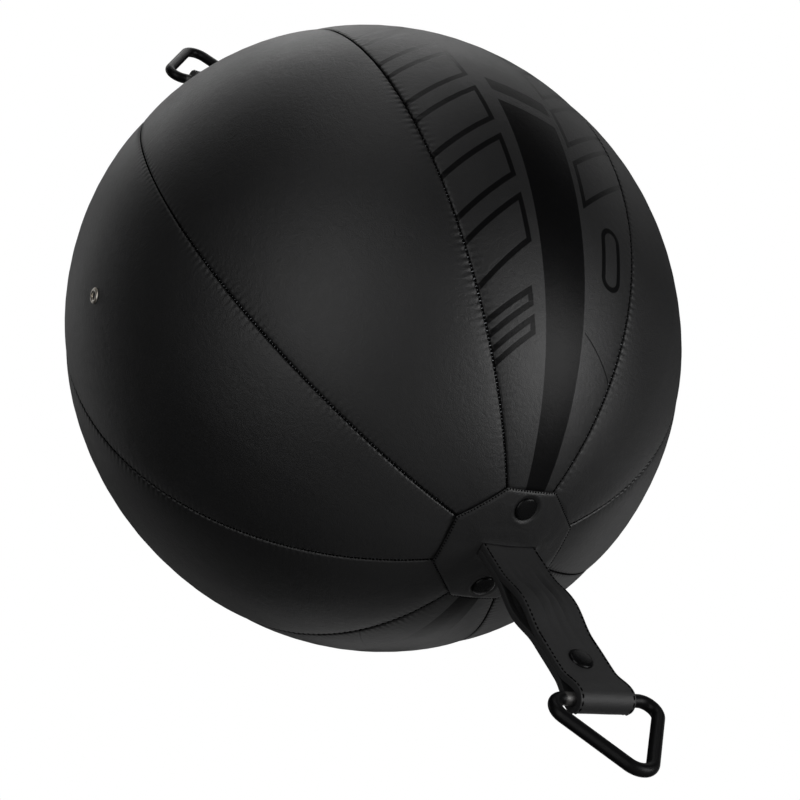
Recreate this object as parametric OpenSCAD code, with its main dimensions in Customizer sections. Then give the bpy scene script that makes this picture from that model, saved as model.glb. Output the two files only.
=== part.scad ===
// Uppercut bag: a stuffed leather ball that hangs by a strap and triangular ring at its top,
// with the same strap and ring at its bottom for a floor tether. Millimetres, +Z up.
// The origin is where the hook bears, on the inside of the top ring's apex.

/* [Ball] */
// Radius of the ball at its equator
ball_r = 210; // [190:1:240]
// Height of the ball over its width
ball_stretch = 1.078; // [1.00:0.002:1.12]
// Thickness of the leather panels
panel_t = 2.2; // [1.6:0.1:3]
// Thickness of the foam under the leather
foam_t = 12; // [10:1:16]
// Thickness of the woven inner bag
bag_t = 1.8; // [1:0.1:2.5]

/* [Caps] */
// Radius of the octagonal cap to its corners
cap_r = 47; // [45:1:50]
// Thickness of the cap leather
cap_t = 1.6; // [1.2:0.1:2]
// Radius of the backing patch inside the ball
backing_r = 49; // [48:1:51]
// Thickness of the backing patch
backing_t = 2; // [1.5:0.1:2.5]
// Distance of each cap rivet from the ball's axis
cap_rivet_y = 31; // [29:0.5:33]

/* [Straps] */
// Width of the strap
strap_w = 40; // [36:1:42]
// Thickness of one layer of the strap
strap_t = 4; // [3.5:0.1:4.2]
// Half of the gap where the two layers stand apart
strap_bulge = 4; // [2:0.5:5]
// Distance from the ring's bar to the strap's rivet
strap_rivet_h = 29; // [28:0.5:33]

/* [Rings] */
// Diameter of the ring's round wire
wire_d = 8; // [7:0.5:8.5]
// Width of the ring's triangle along the wire's centre line
ring_side = 89; // [86:1:94]
// Height of the ring's triangle along the wire's centre line
ring_height = 63; // [60:1:68]
// Bend radius at the ends of the bar
bar_bend_r = 9; // [8:0.5:10]
// Bend radius at the apex
apex_bend_r = 11; // [9:0.5:12]
// Distance from the centre of the ball to the bar of each ring
bar_h = 357; // [352:1:365]

/* [Rivets and vent] */
// Diameter of the domed rivet heads
rivet_head_d = 17; // [15:0.5:18]
// Height of the domed rivet heads
rivet_head_t = 2.6; // [2:0.1:3]
// Diameter of the rivet shanks
rivet_shank_d = 5; // [4:0.5:6]
// Diameter of the vent eyelet's flange
vent_d = 13; // [11:0.5:14]
// Diameter of the vent hole
vent_hole_d = 5; // [4:0.5:6]

/* [Hidden] */

panels = 8;
panel_angle = 360 / panels;
vent_angle = 180;
cap_sides = 8;

// Layers of the ball, as distances out from the outer face of the panels.
foot_out = -panel_t;
foot_in = foot_out - strap_t;
backing_in = foot_in - backing_t;
foam_in = foot_out - foam_t;
bag_in = foam_in - bag_t;

// The strap flexes about a line just outside the cap's slot.
flex_gap = 0.4;
flex_h = ball_r * ball_stretch + cap_t + strap_t + flex_gap;
strap_l = bar_h - flex_h;
slot_w = strap_w + 2;
slot_t = 2 * strap_t + 1;
foot_l = cap_rivet_y + 12;
// The fixed stub ends this far inside the flex line, clear of the strap at its full flex.
stub_drop = 3.2;

// Loop of the strap round the ring's bar, and the stretch where the layers close up.
bar_clearance = 0.3;
loop_in_r = wire_d / 2 + bar_clearance;
loop_out_r = loop_in_r + strap_t;
neck_h = 20;
neck_in_h = 17;
bulge_start = 48;
bulge_end = strap_l - 20;
slit = 0.15;
curve_steps = 14;

// Ring geometry: half angles at its corners and the bend tangent lengths.
side_angle = atan(ring_height / (ring_side / 2));
apex_angle = 180 - 2 * side_angle;
bar_tangent = bar_bend_r / tan(side_angle / 2);
apex_tangent = apex_bend_r / tan(apex_angle / 2);
leg_l = norm([ring_side / 2, ring_height]);
apex_centre_h = ring_height - apex_bend_r / sin(apex_angle / 2);
hook_h = bar_h + apex_centre_h + apex_bend_r - wire_d / 2;
wire_step = 0.01;
wire_lap = 0.2;

washer_d = 15;
washer_t = 1.2;
// A flat washer stands this far off the curved wall behind it.
washer_gap = 0.4;
cap_washer_z = backing_in - washer_gap - washer_t;
vent_washer_z = -panel_t - washer_gap - washer_t;
tail_t = 0.8;
tail_d = 8;
vent_flange_t = 0.9;
vent_wall_t = 1;
vent_pocket_d = 18;
panel_steps = 40;
reach = 300;

leather_black = [0.09, 0.09, 0.095];
strap_black = [0.11, 0.11, 0.115];
wire_black = [0.06, 0.06, 0.065];
foam_grey = [0.45, 0.46, 0.48];
canvas_cream = [0.72, 0.68, 0.58];
filling_grey = [0.5, 0.47, 0.45];
nickel = [0.62, 0.6, 0.55];

function ellipse_point(out, a) = [(ball_r + out) * sin(a), (ball_r * ball_stretch + out) * cos(a)];

function ellipse_arc(out) = [for (i = [0:panel_steps]) ellipse_point(out, 180 * i / panel_steps)];

function reversed(list) = [for (i = [len(list) - 1:-1:0]) list[i]];

// Everything below is drawn about the centre of the ball, then placed under the hook.
module placed() {
    translate([0, 0, -hook_h]) children();
}

module turned_over() {
    rotate([180, 0, 0]) children();
}

// Closed body of revolution whose surface is the ball's, moved out by a distance.
module ball_solid(out) {
    rotate_extrude($fn = 96) polygon(ellipse_arc(out));
}

// Shell of the ball between two distances from the outer face of the panels.
module ball_shell(outer, inner) {
    rotate_extrude($fn = 96) polygon(concat(ellipse_arc(outer), reversed(ellipse_arc(inner))));
}

// Radial hole through the wall where the vent is.
module vent_hole(d) {
    rotate([0, 0, vent_angle]) translate([ball_r - reach / 4, 0, 0]) rotate([0, 90, 0])
        cylinder(h = reach, d = d, $fn = 48);
}

// Places children at a cap rivet, with +Z out along the wall's normal.
module at_cap_rivet(side) {
    a = asin(cap_rivet_y / ball_r);
    tilt = atan(ball_stretch * tan(a));
    translate([0, side * cap_rivet_y, ball_r * ball_stretch * cos(a)]) rotate([-side * tilt, 0, 0]) children();
}

module cap_rivet_holes() {
    for (side = [-1, 1])
        at_cap_rivet(side) translate([0, 0, -reach / 10]) cylinder(h = reach / 5, d = rivet_shank_d, $fn = 32);
}

module slot_hole() {
    translate([-slot_w / 2, -slot_t / 2, 0]) cube([slot_w, slot_t, reach]);
}

module both_ends() {
    children();
    turned_over() children();
}

module panel(index) {
    color(leather_black) placed() difference() {
        rotate([0, 0, (index - 1.5) * panel_angle]) rotate_extrude(angle = panel_angle, $fn = 96)
            polygon(concat(ellipse_arc(0), reversed(ellipse_arc(-panel_t))));
        both_ends() slot_hole();
        both_ends() cap_rivet_holes();
        if ((index - 1) * panel_angle == vent_angle) vent_hole(vent_hole_d + 2 * vent_wall_t);
    }
}

module foam_layer() {
    color(foam_grey) placed() difference() {
        ball_shell(-panel_t, foam_in);
        both_ends() cylinder(h = reach, r = backing_r + 2, $fn = 96);
        vent_hole(vent_pocket_d);
    }
}

module inner_bag() {
    color(canvas_cream) placed() ball_shell(foam_in, bag_in);
}

module filling() {
    color(filling_grey) placed() ball_solid(bag_in);
}

module cap() {
    color(leather_black) difference() {
        intersection() {
            ball_shell(cap_t, 0);
            rotate([0, 0, panel_angle / 2]) cylinder(h = reach, r = cap_r, $fn = cap_sides);
        }
        slot_hole();
        cap_rivet_holes();
    }
}

// Round patch inside the panels that spreads the load of the strap's feet.
module backing() {
    color(strap_black) difference() {
        intersection() {
            ball_shell(foot_in, backing_in);
            cylinder(h = reach, r = backing_r, $fn = 96);
        }
        cap_rivet_holes();
    }
}

// The strap's two ends, spread to both sides inside the panels and riveted there.
module strap_feet() {
    color(strap_black) difference() {
        union() {
            intersection() {
                ball_shell(foot_out, foot_in);
                translate([-strap_w / 2, -foot_l, 0]) cube([strap_w, 2 * foot_l, reach]);
            }
            translate([-strap_w / 2, -strap_t, flex_h - 3 * strap_t]) cube([strap_w, 2 * strap_t, 3 * strap_t]);
        }
        translate([-strap_w, 0, flex_h]) rotate([0, 90, 0])
            cylinder(h = 2 * strap_w, r = strap_t + flex_gap, $fn = 64);
        translate([-strap_w, -strap_w / 2, flex_h - stub_drop]) cube([2 * strap_w, strap_w, reach]);
        cap_rivet_holes();
    }
}

module dome(d, t) {
    sphere_r = (d * d / 4 + t * t) / (2 * t);
    intersection() {
        translate([0, 0, t - sphere_r]) sphere(r = sphere_r, $fn = 96);
        cylinder(h = t, d = d, $fn = 64);
    }
}

module cap_rivets() {
    color(wire_black) for (side = [-1, 1]) at_cap_rivet(side) {
        translate([0, 0, cap_t]) dome(rivet_head_d, rivet_head_t);
        translate([0, 0, cap_washer_z - tail_t])
            cylinder(h = cap_t - cap_washer_z + tail_t, d = rivet_shank_d, $fn = 32);
        translate([0, 0, cap_washer_z - tail_t]) cylinder(h = tail_t, d = tail_d, $fn = 32);
    }
}

module cap_washers() {
    color(nickel) for (side = [-1, 1]) at_cap_rivet(side) translate([0, 0, cap_washer_z])
        difference() {
            cylinder(h = washer_t, d = washer_d, $fn = 48);
            cylinder(h = washer_t, d = rivet_shank_d, $fn = 32);
        }
}

// Half thickness of the folded strap at a height above the bar, and half of the gap inside it.
function ease(x) = (1 + cos(180 * x)) / 2;

function bulge(h) = strap_bulge * pow(sin(180 * (h - bulge_start) / (bulge_end - bulge_start)), 2);

function mirrored(right) = concat(right, [for (p = reversed(right)) [-p[0], p[1]]]);

function neck(half, spread, top) = mirrored([for (i = [0:curve_steps])
    [half + spread * ease(i / curve_steps), top * i / curve_steps]]);

function swell(half) = mirrored([for (i = [0:curve_steps]) let(
        h = bulge_start + (bulge_end - bulge_start) * i / curve_steps
    ) [half + bulge(h), h]]);

// Side view of the folded strap: the loop round the bar at the bottom, the flex line at the top.
module strap_profile() {
    difference() {
        union() {
            circle(r = loop_out_r, $fn = 96);
            polygon(neck(strap_t, loop_out_r - strap_t, neck_h));
            translate([-strap_t, neck_h]) square([2 * strap_t, strap_l - neck_h]);
            polygon(swell(strap_t));
            translate([0, strap_l]) circle(r = strap_t, $fn = 64);
        }
        circle(r = loop_in_r, $fn = 96);
        polygon(neck(slit, loop_in_r - slit, neck_in_h));
        polygon(swell(slit));
    }
}

module strap() {
    color(strap_black) difference() {
        translate([strap_w / 2, 0, bar_h]) rotate([0, 90, 180]) rotate([0, 0, 90])
            linear_extrude(height = strap_w) rotate([0, 0, 180]) strap_profile();
        translate([0, reach / 2, bar_h - strap_rivet_h]) rotate([90, 0, 0])
            cylinder(h = reach, d = rivet_shank_d, $fn = 32);
    }
}

// Rivet through both layers, headed on the -Y side.
module strap_rivet() {
    color(wire_black) translate([0, 0, bar_h - strap_rivet_h]) rotate([90, 0, 0]) {
        translate([0, 0, strap_t]) dome(rivet_head_d, rivet_head_t);
        translate([0, 0, -strap_t]) cylinder(h = 2 * strap_t, d = rivet_shank_d, $fn = 32);
    }
}

// Pressed cap that closes the rivet on the +Y side.
module strap_rivet_cap() {
    color(wire_black) translate([0, strap_t, bar_h - strap_rivet_h]) rotate([-90, 0, 0])
        dome(rivet_head_d, rivet_head_t);
}

module wire_bend(bend_r, angle) {
    rotate_extrude(angle = angle, $fn = 96) translate([bend_r, 0]) circle(d = wire_d, $fn = 64);
}

// Straight run of wire along +Z. It is a hair thinner than the bends and reaches just into them,
// so that a bend always ends on a real face.
module wire_run(length) {
    translate([0, 0, -wire_lap]) cylinder(h = length + 2 * wire_lap, d = wire_d - 2 * wire_step, $fn = 64);
}

// Triangular ring in the XZ plane, with its bar through the strap's loop and its apex outwards.
module ring() {
    color(wire_black) translate([0, 0, bar_h]) rotate([90, 0, 0]) {
        translate([-ring_side / 2 + bar_tangent, 0, 0]) rotate([0, 90, 0])
            wire_run(ring_side - 2 * bar_tangent);
        for (side = [-1, 1]) {
            translate([side * (ring_side / 2 - bar_tangent), bar_bend_r, 0])
                rotate([0, 0, side > 0 ? -90 : side_angle - 270])
                    wire_bend(bar_bend_r, 180 - side_angle);
            translate([side * ring_side / 2, 0, 0]) rotate([0, 0, side * (90 - side_angle)])
                translate([0, bar_tangent, 0]) rotate([-90, 0, 0])
                    wire_run(leg_l - bar_tangent - apex_tangent);
        }
        translate([0, apex_centre_h, 0]) rotate([0, 0, apex_angle / 2]) wire_bend(apex_bend_r, 180 - apex_angle);
    }
}

module vent_eyelet() {
    color(nickel) placed() rotate([0, 0, vent_angle]) translate([ball_r, 0, 0]) rotate([0, 90, 0])
        difference() {
            union() {
                cylinder(h = vent_flange_t, d = vent_d, $fn = 48);
                translate([0, 0, vent_washer_z])
                    cylinder(h = -vent_washer_z, d = vent_hole_d + 2 * vent_wall_t, $fn = 48);
            }
            translate([0, 0, -reach / 2]) cylinder(h = reach, d = vent_hole_d, $fn = 48);
        }
}

module vent_washer() {
    color(nickel) placed() rotate([0, 0, vent_angle]) translate([ball_r + vent_washer_z, 0, 0])
        rotate([0, 90, 0]) difference() {
            cylinder(h = washer_t, d = vent_d, $fn = 48);
            cylinder(h = washer_t, d = vent_hole_d + 2 * vent_wall_t, $fn = 48);
        }
}

placed() ring();  // top_ring
placed() strap();  // top_strap
placed() strap_rivet();  // top_strap_rivet
placed() strap_rivet_cap();  // top_strap_rivet_cap
placed() strap_feet();  // top_strap_feet
placed() cap();  // top_cap
placed() backing();  // top_backing
placed() cap_rivets();  // top_cap_rivets
placed() cap_washers();  // top_cap_washers
panel(1);  // panel_1
panel(2);  // panel_2
panel(3);  // panel_3
panel(4);  // panel_4
panel(5);  // panel_5
panel(6);  // panel_6
panel(7);  // panel_7
panel(8);  // panel_8
foam_layer();
inner_bag();
filling();
vent_eyelet();
vent_washer();
placed() turned_over() cap();  // bottom_cap
placed() turned_over() backing();  // bottom_backing
placed() turned_over() cap_rivets();  // bottom_cap_rivets
placed() turned_over() cap_washers();  // bottom_cap_washers
placed() turned_over() strap_feet();  // bottom_strap_feet
placed() turned_over() strap();  // bottom_strap
placed() mirror([0, 0, 1]) strap_rivet();  // bottom_strap_rivet
placed() mirror([0, 0, 1]) strap_rivet_cap();  // bottom_strap_rivet_cap
placed() turned_over() ring();  // bottom_ring
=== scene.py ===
import math

import bmesh
import bpy
from mathutils import Matrix, Quaternion, Vector, noise


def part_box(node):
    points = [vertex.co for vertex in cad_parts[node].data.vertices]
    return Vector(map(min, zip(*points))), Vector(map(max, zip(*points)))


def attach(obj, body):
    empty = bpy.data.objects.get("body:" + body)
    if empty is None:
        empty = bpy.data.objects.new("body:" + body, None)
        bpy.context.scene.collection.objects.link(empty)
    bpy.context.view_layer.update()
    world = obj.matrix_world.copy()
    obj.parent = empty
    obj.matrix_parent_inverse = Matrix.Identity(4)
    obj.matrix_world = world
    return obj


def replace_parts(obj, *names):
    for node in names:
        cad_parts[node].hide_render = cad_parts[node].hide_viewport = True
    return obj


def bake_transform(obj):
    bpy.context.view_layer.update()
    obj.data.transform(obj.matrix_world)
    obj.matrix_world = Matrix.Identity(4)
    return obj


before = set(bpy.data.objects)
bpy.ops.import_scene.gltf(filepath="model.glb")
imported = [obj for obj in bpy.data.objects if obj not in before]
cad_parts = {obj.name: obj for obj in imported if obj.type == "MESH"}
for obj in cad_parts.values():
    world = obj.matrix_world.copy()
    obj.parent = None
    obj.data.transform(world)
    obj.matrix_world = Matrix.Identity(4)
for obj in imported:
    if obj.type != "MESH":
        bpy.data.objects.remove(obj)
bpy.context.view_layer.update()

# The camera looks up at the hung bag from below and to its left, close enough for the near end
# to stand well forward of the ball, and it is rolled so that the bag hangs across the picture.
SIGHT_AZIMUTH = math.radians(-49.14)
SIGHT_ELEVATION = math.radians(-44.86)
SIGHT_ROLL = math.radians(-31.88)
SIGHT_DISTANCE = 1.390
SIGHT_AIM = Vector((0.0212, 0.0271, -0.0339))
LENS = 89.9
SENSOR = 36

filling_low, filling_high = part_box("filling")
ball_centre = (filling_low + filling_high) / 2
sight = Vector((
    math.sin(SIGHT_AZIMUTH) * math.cos(SIGHT_ELEVATION),
    -math.cos(SIGHT_AZIMUTH) * math.cos(SIGHT_ELEVATION),
    math.sin(SIGHT_ELEVATION),
))
aim = ball_centre + SIGHT_AIM
camera_data = bpy.data.cameras.new("camera")
camera_data.lens = LENS
camera_data.sensor_width = SENSOR
camera = bpy.data.objects.new("camera", camera_data)
bpy.context.collection.objects.link(camera)
sight_turn = sight.to_track_quat("Z", "Y") @ Quaternion((0, 0, 1), SIGHT_ROLL)
camera.matrix_world = Matrix.LocRotScale(aim + sight * SIGHT_DISTANCE, sight_turn, None)
bpy.context.scene.camera = camera
bpy.context.scene.view_settings.view_transform = "Standard"

# A plain white studio: a pale floor well under the bag, a white surround, and large soft lights
# that keep their places round the bag whatever side it is seen from.
FLOOR_DEPTH = 2.2
FLOOR_SIZE = 9.0
FLOOR_SEEN = 0.80
SURROUND_SEEN = 1.0
SURROUND_GLOW = 0.01
SOFT_BOX = 1.0

floor_mesh = bmesh.new()
bmesh.ops.create_grid(floor_mesh, x_segments=2, y_segments=2, size=FLOOR_SIZE / 2)
bmesh.ops.translate(floor_mesh, verts=floor_mesh.verts, vec=(0, 0, -FLOOR_DEPTH))
floor_data = bpy.data.meshes.new("studio_floor")
floor_mesh.to_mesh(floor_data)
floor_mesh.free()
floor = bpy.data.objects.new("studio_floor", floor_data)
bpy.context.collection.objects.link(floor)
floor_paint = bpy.data.materials.new("studio_floor")
floor_paint.use_nodes = True
floor_data.materials.append(floor_paint)
floor_nodes = floor_paint.node_tree.nodes
floor_shader = floor_nodes["Principled BSDF"]
floor_shader.inputs["Base Color"].default_value = (0.8, 0.8, 0.8, 1)
floor_shader.inputs["Roughness"].default_value = 0.9
floor_seen = floor_nodes.new("ShaderNodeEmission")
floor_seen.inputs["Strength"].default_value = FLOOR_SEEN
floor_choice = floor_nodes.new("ShaderNodeMixShader")
floor_path = floor_nodes.new("ShaderNodeLightPath")
for source, target in (
    (floor_path.outputs["Is Camera Ray"], floor_choice.inputs[0]),
    (floor_shader.outputs[0], floor_choice.inputs[1]),
    (floor_seen.outputs[0], floor_choice.inputs[2]),
    (floor_choice.outputs[0], floor_nodes["Material Output"].inputs["Surface"]),
):
    floor_paint.node_tree.links.new(source, target)

world = bpy.data.worlds.new("studio")
world.use_nodes = True
bpy.context.scene.world = world
surround = world.node_tree.nodes["Background"]
light_path = world.node_tree.nodes.new("ShaderNodeLightPath")
surround_level = world.node_tree.nodes.new("ShaderNodeMapRange")
surround_level.inputs["To Min"].default_value = SURROUND_GLOW
surround_level.inputs["To Max"].default_value = SURROUND_SEEN
world.node_tree.links.new(light_path.outputs["Is Camera Ray"], surround_level.inputs["Value"])
world.node_tree.links.new(surround_level.outputs["Result"], surround.inputs["Strength"])
surround.inputs["Color"].default_value = (1, 1, 1, 1)


def soft_light(name, across, up, towards, power):
    """A square soft box, placed by how far it stands from the ball across, up and towards the view."""
    data = bpy.data.lights.new(name, "AREA")
    data.size = SOFT_BOX
    data.energy = power
    light = bpy.data.objects.new(name, data)
    bpy.context.collection.objects.link(light)
    place = ball_centre + sight_turn @ Vector((across, up, towards))
    turn = (place - ball_centre).to_track_quat("Z", "Y")
    light.matrix_world = Matrix.LocRotScale(place, turn, None)
    light.visible_camera = False


soft_light("key_light", 1.65, 0.0, 0.95, 16)
soft_light("front_light", -0.95, 0.0, 1.65, 4.6)
soft_light("high_light", -0.47, 0.82, 1.65, 5.6)
soft_light("top_rim", 0.0, 1.9, 0.0, 3.4)
soft_light("high_back_rim", 0.05, 1.40, -1.22, 4.2)
soft_light("top_back_rim", -0.73, 1.26, -1.22, 3.6)
soft_light("high_left_rim", -1.26, 0.73, -1.22, 1.3)
soft_light("left_rim", -1.46, 0.0, -1.22, 1.25)
soft_light("low_left_rim", -1.03, -1.03, -1.22, 0.45)
soft_light("low_rim", 0.0, -1.46, -1.22, 1.7)
soft_light("low_right_rim", 1.08, -0.97, -1.22, 1.5)
soft_light("right_rim", 1.40, -0.35, -1.22, 0.5)
soft_light("high_right_rim", 0.98, 1.08, -1.22, 1.1)

# Leather panels. Eight gores of soft black coated leather are sewn together inside out, so each
# edge turns in at the seam, and the finished bag is stuffed until every panel is drum tight.
PANELS = 8
BALL_RADIUS = 0.210
BALL_HALF_HEIGHT = 0.2264
PANEL_THICKNESS = 0.0022
PANEL_END = math.radians(10.5)
PANEL_ROWS = 800
LIP_RADIUS = 0.0014
LIP_STEPS = 5
SEAM_GAP = 0.00030
SEAM_ALLOWANCE = 0.006
SEAM_SINK = 0.0009
SEAM_SINK_REACH = 0.012
SEAM_ROLL = 0.0004
SEAM_ROLL_REACH = 0.0034
STITCH_PITCH = 0.0046
PUCKER = 0.00060
PUCKER_REACH = 0.0022
STITCH_PULL = 0.65
STITCH_PULL_CHANGE = 0.70
TUCK = 0.35
LUMP = 0.00045
LUMPS_ROUND = 2.6
LUMPS_ALONG = 11
PULLS_ALONG = 18
TUCKS_ALONG = 120
UNDER_CAP = 0.0005
UNDER_CAP_REACH = 0.035
SKIN_SPAN = 0.070
GORE_PLACES = (0, 0.0012, 0.0026, 0.0044, 0.007, 0.011, 0.017, 0.026, 0.038, 0.052, 0.066)


def cleared(name):
    """A new bmesh with a map for patterns that follow the piece's own surface."""
    made = bmesh.new()
    made.loops.layers.uv.new(name)
    return made


def finished(bm, name, material, body=None):
    """Turns a bmesh into a piece at the origin, and lets it ride on its body."""
    mesh = bpy.data.meshes.new(name)
    bm.to_mesh(mesh)
    bm.free()
    mesh.polygons.foreach_set("use_smooth", [True] * len(mesh.polygons))
    mesh.materials.append(material)
    piece = bpy.data.objects.new(name, mesh)
    bpy.context.collection.objects.link(piece)
    if body:
        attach(piece, body)
    return piece


def facing_out(bm):
    """Turns an open sheet's faces away from the ball's middle."""
    bmesh.ops.recalc_face_normals(bm, faces=bm.faces)
    widest = max(bm.faces, key=lambda f: f.calc_area())
    if widest.normal.dot(widest.calc_center_median() - ball_centre) < 0:
        bmesh.ops.reverse_faces(bm, faces=bm.faces)


def thickened(piece, thickness):
    """Gives a sheet its thickness, measured in from the face that shows."""
    solid = piece.modifiers.new("thickness", "SOLIDIFY")
    solid.thickness = thickness
    solid.offset = -1
    solid.use_even_offset = False


def on_ball(longitude, colatitude, lift):
    """The point on the stuffed ball, measured from its bottom pole, lifted off the surface."""
    out = Vector((
        math.cos(longitude) * math.sin(colatitude) / BALL_RADIUS,
        math.sin(longitude) * math.sin(colatitude) / BALL_RADIUS,
        -math.cos(colatitude) / BALL_HALF_HEIGHT,
    )).normalized()
    skin = Vector((
        BALL_RADIUS * math.sin(colatitude) * math.cos(longitude),
        BALL_RADIUS * math.sin(colatitude) * math.sin(longitude),
        -BALL_HALF_HEIGHT * math.cos(colatitude),
    ))
    return ball_centre + skin + out * lift, out


def meridian_length(colatitude):
    """Distance along the skin from the bottom pole, near enough for spacing stitches."""
    mean = (BALL_RADIUS + BALL_HALF_HEIGHT) / 2
    return mean * colatitude


def seam_pull(distance, along, seam):
    """How far the stitches pull the leather in near a seam, and how it puffs up between them."""
    near = math.exp(-distance / PUCKER_REACH)
    wander = noise.noise(Vector((along * PULLS_ALONG, seam * 7.3, 0.5)))
    wave = (STITCH_PULL + STITCH_PULL_CHANGE * wander) * math.cos(2 * math.pi * along / STITCH_PITCH)
    tuck = TUCK * noise.noise(Vector((along * TUCKS_ALONG, seam * 3.1, 4.0)))
    sunk = SEAM_SINK * math.exp(-distance / SEAM_SINK_REACH)
    sunk += SEAM_ROLL * math.exp(-distance / SEAM_ROLL_REACH)
    return PUCKER * near * (wave + tuck) - sunk


def gore_columns():
    """Places across half a gore, from its turned-in edge: the allowance, the lip, then the skin."""
    deep = [("allowance", SEAM_ALLOWANCE), ("allowance", SEAM_ALLOWANCE * 0.45)]
    lip = [("lip", math.radians(90 * i / LIP_STEPS)) for i in range(LIP_STEPS)]
    skin = [("skin", LIP_RADIUS + place) for place in GORE_PLACES]
    return deep + lip + skin


HALF_GORE = gore_columns()


def gore_vertex(column, row, index):
    """Place of one vertex of a gore, and its place in the gore's own flat pattern."""
    side = -1 if column < len(HALF_GORE) else 1
    from_edge = min(column, 2 * len(HALF_GORE) - column)
    kind, amount = HALF_GORE[from_edge] if from_edge < len(HALF_GORE) else ("middle", 0.0)
    middle = (index - 1) * 2 * math.pi / PANELS
    half = math.pi / PANELS
    colatitude = PANEL_END + (math.pi - 2 * PANEL_END) * row / PANEL_ROWS
    ring = BALL_RADIUS * math.sin(colatitude)
    half_width = ring * half
    seam = (index - 1 + (side > 0)) % PANELS
    along = meridian_length(colatitude)
    sink = 0.0
    if kind == "allowance":
        distance = SEAM_GAP
        sink = amount
    elif kind == "lip":
        distance = SEAM_GAP + LIP_RADIUS * (1 - math.cos(amount))
        sink = LIP_RADIUS * (1 - math.sin(amount))
    elif kind == "skin":
        share = (amount - LIP_RADIUS) / SKIN_SPAN
        distance = min(amount, LIP_RADIUS + share * (half_width - LIP_RADIUS))
    else:
        distance = half_width
    across = side * (half_width - distance)
    longitude = middle + across / ring
    round_ball = Vector((math.cos(longitude), math.sin(longitude), 0)) * LUMPS_ROUND
    lift = seam_pull(distance, along, seam) - sink
    lift += LUMP * noise.noise(round_ball + Vector((0, 0, along * LUMPS_ALONG)))
    from_end = min(colatitude, math.pi - colatitude) - PANEL_END
    lift -= UNDER_CAP * min(1.0, 3 * max(0.0, 1 - from_end / UNDER_CAP_REACH))
    return on_ball(longitude, colatitude, lift)[0], (across, along)


def gore(index):
    """One panel's sheet: a grid laid over its eighth of the ball, with its edges turned in."""
    bm = cleared("cut_pattern")
    columns = 2 * len(HALF_GORE)
    bmesh.ops.create_grid(bm, x_segments=columns, y_segments=PANEL_ROWS, size=1, calc_uvs=True)
    flat = {}
    for vertex in bm.verts:
        column = round((vertex.co.x + 1) / 2 * columns)
        row = round((vertex.co.y + 1) / 2 * PANEL_ROWS)
        vertex.co, flat[vertex] = gore_vertex(column, row, index)
    pattern = bm.loops.layers.uv.active
    for face in bm.faces:
        for corner in face.loops:
            corner[pattern].uv = flat[corner.vert]
    facing_out(bm)
    return bm


class Wire:
    """A socket in a material, on which ordinary arithmetic adds the Math nodes it needs."""

    def __init__(self, tree, socket=None):
        self.tree = tree
        self.socket = socket

    def add(self, kind, settings=None, sockets=None, output=0):
        """Any node: its settings first, then the values or wires of its sockets."""
        made = self.tree.nodes.new(kind)
        for name, value in (settings or {}).items():
            setattr(made, name, value)
        for name, value in (sockets or {}).items():
            if isinstance(value, Wire):
                self.tree.links.new(value.socket, made.inputs[name])
            else:
                made.inputs[name].default_value = value
        return Wire(self.tree, made.outputs[output])

    def math(self, operation, *values):
        """A Math node on this wire and the given values."""
        return self.add("ShaderNodeMath", {"operation": operation}, dict(enumerate((self, *values))))

    def __add__(self, other):
        return self.math("ADD", other)

    def __sub__(self, other):
        return self.math("SUBTRACT", other)

    def __mul__(self, other):
        return self.math("MULTIPLY", other)

    def __truediv__(self, other):
        return self.math("DIVIDE", other)

    def __rsub__(self, other):
        return (self * -1) + other

    __radd__ = __add__
    __rmul__ = __mul__

    def step(self, low, high):
        """0 below low, 1 above high, smooth between."""
        return self.add("ShaderNodeMapRange", {"interpolation_type": "SMOOTHSTEP"},
                        {"Value": self, "From Min": low, "From Max": high})

    def to(self, name):
        """Joins this wire to one socket of the material's shader."""
        shader = self.tree.nodes["Principled BSDF"]
        self.tree.links.new(self.socket, shader.inputs[name])


def started(name, **values):
    """A new material, its even values set on the shader itself."""
    material = bpy.data.materials.new(name)
    material.use_nodes = True
    shader = material.node_tree.nodes["Principled BSDF"]
    for socket, value in values.items():
        shader.inputs[socket.replace("_", " ")].default_value = value
    return material, Wire(material.node_tree)


def mixed(wire, share, dark, light):
    """A colour between two, by a share that changes over the surface."""
    mix = wire.add("ShaderNodeMix", {"data_type": "RGBA"}, {"Factor": share}, output=2)
    node = mix.socket.node
    for socket, value in ((node.inputs[6], dark), (node.inputs[7], light)):
        if isinstance(value, Wire):
            wire.tree.links.new(value.socket, socket)
        else:
            socket.default_value = value
    return mix


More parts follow.
